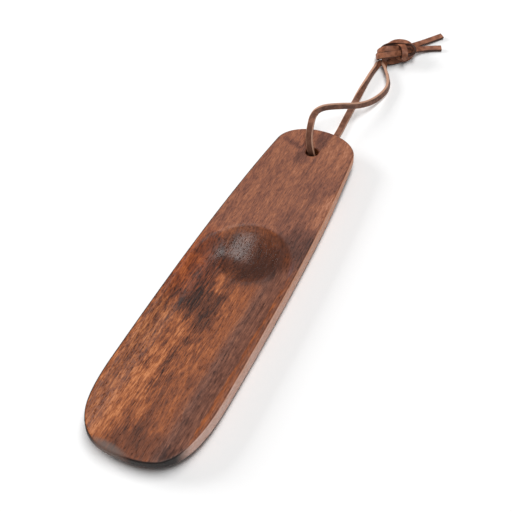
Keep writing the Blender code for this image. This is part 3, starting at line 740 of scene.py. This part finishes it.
class Net:
    """The body's surface laid flat: places on the plan, each with a height offset and a level.

    The level is 0 for the back and 1 for the front.
    """

    def __init__(self):
        self.places = []
        self.levels = []
        self.faces = []

    def add_row(self, points, offset, level):
        """A ring of places, by their numbers."""
        first = len(self.places)
        self.places += [(point.x, point.y, offset) for point in points]
        self.levels += [level] * len(points)
        return list(range(first, len(self.places)))

    def add_strip(self, rows):
        """Faces from each ring to the next."""
        for first, second in zip(rows, rows[1:]):
            for k in range(len(first)):
                after = (k + 1) % len(first)
                self.faces.append((first[k], first[after], second[after], second[k]))

    def add_sheet(self, loop, rounding, level, pitch, lines):
        """A flat side: rings where its edge turns over, lines to keep, and evenly spread points between."""
        points, offsets, edges = [], [], []
        way = -1.0 if level else 1.0
        for k in range(ROUND_STEPS + 1):
            turn = math.pi / 2 * k / ROUND_STEPS
            inset = rounding * (1 - math.cos(turn))
            first = len(points)
            points += [place + inwards * inset for place, inwards in loop]
            offsets += [way * rounding * (1 - math.sin(turn))] * len(loop)
            edges += [(first + n, first + (n + 1) % len(loop)) for n in range(len(loop))]
        nearest_rim = nearest_of([place for place, _ in loop])

        def depth_inside(point):
            _, n, _ = nearest_rim(point)
            return (point - loop[n][0]).dot(loop[n][1])

        for line, closed in [*lines, (hole_ring(MOUTH_RADIUS), True)]:
            run = [point for point in line if depth_inside(point) > rounding + LINE_MARGIN]
            first = len(points)
            points += run
            edges += [(first + n, first + n + 1) for n in range(len(run) - 1)]
            if closed:
                edges.append((first + len(run) - 1, first))
        nearest_line = nearest_of(points)
        rows = math.ceil(LENGTH / (pitch * ROW_SHARE))
        columns = math.ceil(BLADE_HALF_WIDTH / pitch) + 1
        for row in range(rows + 1):
            y = TIP_Y + row * pitch * ROW_SHARE
            for column in range(-columns, columns + 1):
                point = Vector(((column + 0.5 * (row % 2)) * pitch, y))
                inside = depth_inside(point) >= rounding + pitch * RIM_GAP_SHARE
                clear_of_hole = (point - HOLE_MIDDLE).length >= MOUTH_RADIUS
                if inside and clear_of_hole and nearest_line(point)[2] >= pitch * LINE_GAP_SHARE:
                    points.append(point)
        offsets += [0.0] * (len(points) - len(offsets))
        laid, _, faces, origins, _, _ = delaunay_2d_cdt(points, edges, [], 0, NET_TOUCH)
        base = len(self.places)
        for point, origin in zip(laid, origins):
            self.places.append((point.x, point.y, offsets[origin[0]] if origin else 0.0))
            self.levels.append(level)
        for face in faces:
            middle = sum((laid[n] for n in face), Vector((0.0, 0.0))) / len(face)
            if (middle - HOLE_MIDDLE).length >= MOUTH_RADIUS * math.cos(math.pi / HOLE_SIDES):
                self.faces.append(tuple(base + n for n in face))


def hollow_lines():
    """Lines along the hollow's edge and beside it, from the tip round its oval end and back."""
    lines = []
    for aside in EDGE_LINES:
        reach = HOLLOW_HALF_WIDTH - aside
        line = []
        steps = round((HEAD_Y - TIP_Y) / OUTLINE_PITCH)
        line += [Vector((reach, TIP_Y + (HEAD_Y - TIP_Y) * n / steps)) for n in range(steps)]
        turns = round(math.pi / 2 * (HOLLOW_HALF_WIDTH + HOLLOW_HEAD) / OUTLINE_PITCH)
        for n in range(turns + 1):
            across, along = math.cos(math.pi * n / turns), math.sin(math.pi * n / turns)
            outward = Vector((across * HOLLOW_HEAD, along * HOLLOW_HALF_WIDTH)).normalized()
            line.append(Vector((across * HOLLOW_HALF_WIDTH, HEAD_Y + along * HOLLOW_HEAD)) - outward * aside)
        line += [Vector((-reach, point.y)) for point in reversed(line[:steps])]
        lines.append((line, False))
    return lines


def lay_net():
    """The body's whole surface as a flat net: front, back, side wall and the hole's wall."""
    loop = outline_loop(OUTLINE_PITCH)
    net = Net()
    net.add_sheet(loop, FRONT_ROUND, 1.0, FRONT_PITCH, hollow_lines())
    net.add_sheet(loop, BACK_ROUND, 0.0, BACK_PITCH, [])
    places = [place for place, _ in loop]
    rows = []
    for k in range(WALL_ROWS + 1):
        level = k / WALL_ROWS
        rows.append(net.add_row(places, BACK_ROUND + (-FRONT_ROUND - BACK_ROUND) * level, level))
    net.add_strip(rows)
    rows = []
    for level, way in ((1.0, -1), (0.0, 1)):
        arc = []
        for k in range(ROUND_STEPS + 1):
            turn = math.pi / 2 * k / ROUND_STEPS
            ring = hole_ring(HOLE_RADIUS + HOLE_MOUTH * (1 - math.sin(turn)))
            arc.append(net.add_row(ring, way * HOLE_MOUTH * (1 - math.cos(turn)), level))
        rows += arc if level else arc[::-1]
    net.add_strip(rows)
    mesh = bpy.data.meshes.new("horn_net")
    mesh.from_pydata(net.places, [], net.faces)
    levels = mesh.attributes.new("level", "FLOAT", "POINT")
    levels.data.foreach_set("value", net.levels)
    thing = bpy.data.objects.new("wooden_horn", mesh)
    bpy.context.scene.collection.objects.link(thing)
    return thing


def carving_tree():
    """Raises the flat net to the board's two sides, sweeps its back and carves the hollow into its front."""
    tree, enter = new_geometry_tree("carve_horn", HORN_SIZES)
    x, y, offset = split(tree, step(tree, "GeometryNodeInputPosition"))
    level = named_value(tree, "level")

    # Back, swept up to the tip and under the handle end
    from_sweep = ((y - TIP_Y) / enter["Tip sweep"]).flipped().work("MAXIMUM", 0.0)
    tip = from_sweep.work("POWER", 2.0) * enter["Tip rise"]
    handle = y.eased(HANDLE_SWEEP_END - HANDLE_SWEEP, HANDLE_SWEEP_END) * enter["Handle rise"]
    board = level * enter["Thickness"] + offset
    swept = board + (board / enter["Thickness"]).flipped() * (tip + handle)

    # Trough, whose side walls roll down to a nearly flat floor
    half = enter["Hollow half width"]
    past = (y - HEAD_Y).work("MAXIMUM", 0.0) * half / enter["Hollow head"]
    inset = half - (x * x + past * past).work("SQRT")
    floor = y.eased(TIP_Y, BOWL_Y, enter["Trough depth at tip"], enter["Trough depth at bowl"])
    rolled = (inset / enter["Trough wall"]).work("MAXIMUM", 0.0).work("MINIMUM", 1.0)
    quarter = math.pi / 2
    trough = floor * (rolled * quarter).work("SINE")
    trough = trough + inset.work("MINIMUM", 0.0) * floor * quarter / enter["Trough wall"]

    # Bowl, part of a ball
    depth = enter["Bowl depth"]
    rim = enter["Bowl half width"]
    radius = (rim * rim + depth * depth) / (depth * 2.0)
    away = (x * x + (y - BOWL_Y) * (y - BOWL_Y)).work("SQRT").work("MINIMUM", radius)
    bowl = (radius * radius - away * away).work("SQRT") - radius + depth
    deeper = trough.work("MAXIMUM", bowl)
    softer = trough.work("SMOOTH_MAX", bowl, enter["Softness"])
    hollow = deeper + (softer - deeper) * rolled.eased(0.0, 1.0)
    hollow = hollow.work("SMOOTH_MAX", 0.0, enter["Edge wear"])
    place = combine(tree, x, y, swept - level * hollow)
    carved = step(tree, "GeometryNodeSetPosition", Geometry=enter["Geometry"], Position=place)
    finish_tree(tree, carved, enter)
    return tree


def make_horn(wood):
    horn = grow(lay_net(), carving_tree(), wood, HORN_SIZES)
    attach(horn, "horn")
    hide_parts("horn_body")


# Lace

def smooth_route(route, pitch):
    """Places and broad-side directions about a pitch apart on a smooth curve through a route's points."""
    places = [Vector(place) for place, face in route]
    faces = [Vector(face).normalized() for place, face in route]
    last = len(places) - 1
    ways = [(places[min(k + 1, last)] - places[max(k - 1, 0)]).normalized() for k in range(last + 1)]
    samples = []
    for k in range(last):
        reach = (places[k + 1] - places[k]).length
        pieces = max(1, round(reach / pitch))
        leave = places[k] + ways[k] * reach / 3
        arrive = places[k + 1] - ways[k + 1] * reach / 3
        run = interpolate_bezier(places[k], leave, arrive, places[k + 1], pieces + 1)
        for n in range(pieces):
            samples.append((Vector(run[n]), faces[k].lerp(faces[k + 1], n / pieces)))
    samples.append((places[last], faces[last]))
    return samples


def strap_frames(route, pitch):
    """A frame for each place of a flat strap: X across its width, Y along it and Z out of its broad side."""
    samples = smooth_route(route, pitch)
    last = len(samples) - 1
    frames = []
    for k, (place, face) in enumerate(samples):
        along = (samples[min(k + 1, last)][0] - samples[max(k - 1, 0)][0]).normalized()
        across = along.cross(face).normalized()
        up = across.cross(along)
        turn = Matrix((across, along, up)).transposed().to_4x4()
        frames.append(Matrix.Translation(place) @ turn)
    return frames


def as_route(frames, world):
    """The frames' places and broad-side directions, moved from the knot's frame to the world."""
    moved = [world @ stand for stand in frames]
    return [(tuple(stand.translation), tuple(stand.col[2].xyz)) for stand in moved]


def relaxed(values):
    """The same run of values with its small kinks eased out, its ends kept."""
    for _ in range(LACE_EASING):
        middle = [(a + b * 2 + c) / 4 for a, b, c in zip(values, values[1:], values[2:])]
        values = [values[0], *middle, values[-1]]
    return values


def strap_tree():
    """Sweeps the strap's section along a line and keeps how far along, across and through each point is."""
    tree, enter = new_geometry_tree("strap_along_line", LACE_SIZES)
    line = step(tree, "GeometryNodeMeshToCurve", Mesh=enter["Geometry"])
    line = store(tree, line, "along", step(tree, "GeometryNodeSplineParameter", out="Length"))
    side = named_value(tree, "broad_side", "FLOAT_VECTOR")
    line = step(tree, "GeometryNodeSetCurveNormal", [("mode", "FREE")], Curve=line, Normal=side)
    section = step(
        tree, "GeometryNodeCurvePrimitiveQuadrilateral", Width=enter["Thickness"], Height=enter["Width"])
    section = step(
        tree, "GeometryNodeFilletCurve", [("mode", "POLY")],
        Curve=section, Radius=enter["Corner"], Count=CORNER_POINTS)
    section = step(tree, "GeometryNodeSubdivideCurve", Curve=section, Cuts=SECTION_CUTS)
    x, y, _ = split(tree, step(tree, "GeometryNodeInputPosition"))
    section = store(tree, section, "through", x / (enter["Thickness"] * 0.5))
    section = store(tree, section, "across", y / (enter["Width"] * 0.5))
    settings = {"Curve": line, "Profile_Curve": section, "Fill_Caps": True}
    finish_tree(tree, step(tree, "GeometryNodeCurveToMesh", **settings), enter)
    return tree


def make_strap(name, route, tree, leather):
    """One end of the lace from the hole to its cut tail, as a line that the tree gives its section."""
    frames = strap_frames(route, LACE_FINE_STEP)
    places = relaxed([stand.translation.copy() for stand in frames])
    faces = relaxed([stand.col[2].xyz.copy() for stand in frames])
    mesh = bpy.data.meshes.new(name)
    mesh.from_pydata(places, [(n, n + 1) for n in range(len(places) - 1)], [])
    sides = mesh.attributes.new("broad_side", "FLOAT_VECTOR", "POINT")
    sides.data.foreach_set("vector", [part for face in faces for part in face])
    line = bpy.data.objects.new(name, mesh)
    bpy.context.scene.collection.objects.link(line)
    return grow(line, tree, leather, LACE_SIZES), places


def length_of(places):
    return sum((b - a).length for a, b in zip(places, places[1:]))


def make_lace(leather):
    world = Matrix.Translation(KNOT_MIDDLE) @ Matrix.Rotation(KNOT_TURN, 4, "Z")
    in_hole = BACK_ROUTE[-1]
    tree = strap_tree()

    def from_knot(*routes):
        return as_route(strap_frames(sum(routes, ()), KNOT_STEP), world)

    over = [in_hole, *FRONT_ROUTE, *from_knot(FRONT_KNOT_ROUTE, UPPER_TAIL_ROUTE)]
    under = [(place, tuple(-part for part in face)) for place, face in reversed(BACK_ROUTE)]
    under += from_knot(BACK_KNOT_ROUTE, LOWER_TAIL_ROUTE)
    for name, route, nodes in (
            ("lace_over", over, ("lace_loop", "lace_knot", "lace_tail_upper")),
            ("lace_under", under, ("lace_loop", "lace_knot", "lace_tail_lower"))):
        strap, places = make_strap(name, route, tree, leather)
        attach(strap, "lace")
        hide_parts(*nodes)
        length_of(places)


# Studio

def make_camera():
    data = bpy.data.cameras.new("photo_view")
    data.lens = CAMERA_LENS
    data.sensor_width = CAMERA_SENSOR
    data.clip_start, data.clip_end = CAMERA_CLIP
    camera = bpy.data.objects.new("photo_view", data)
    camera.location = CAMERA_PLACE
    camera.rotation_euler = [math.radians(turn) for turn in CAMERA_TURN]
    bpy.context.scene.collection.objects.link(camera)
    bpy.context.scene.camera = camera


def make_floor():
    bm = bmesh.new()
    bmesh.ops.create_grid(bm, x_segments=2, y_segments=2, size=FLOOR_REACH)
    mesh = bpy.data.meshes.new("floor")
    bm.to_mesh(mesh)
    bm.free()
    material, _, shader = new_finish("white_table")
    shader.inputs["Base Color"].default_value = FLOOR_TONE
    shader.inputs["Roughness"].default_value = FLOOR_ROUGHNESS
    shader.inputs["Specular IOR Level"].default_value = FLOOR_SHINE
    mesh.materials.append(material)
    floor = bpy.data.objects.new("floor", mesh)
    bpy.context.scene.collection.objects.link(floor)


def make_softbox(name, place, size, power, lengthwise, glint):
    """A soft panel of light that looks at the middle of the horn, its long side laid lengthwise."""
    data = bpy.data.lights.new(name, "AREA")
    data.shape = "RECTANGLE"
    data.size, data.size_y = size
    data.energy = power
    lamp = bpy.data.objects.new(name, data)
    away = Vector(place).normalized()
    across = Vector(lengthwise).cross(away).normalized()
    lamp.rotation_euler = Matrix((across, away.cross(across), away)).transposed().to_euler()
    lamp.location = place
    lamp.visible_glossy = glint
    bpy.context.scene.collection.objects.link(lamp)


def light_room():
    for softbox in SOFTBOXES:
        make_softbox(*softbox)
    world = bpy.data.worlds.new("room")
    world.use_nodes = True
    background = world.node_tree.nodes["Background"]
    background.inputs["Color"].default_value = ROOM_COLOUR
    background.inputs["Strength"].default_value = ROOM_LIGHT
    bpy.context.scene.world = world
    bpy.context.scene.view_settings.view_transform = "Standard"


make_camera()
make_lace(make_leather())
make_horn(make_wood())
make_floor()
light_room()
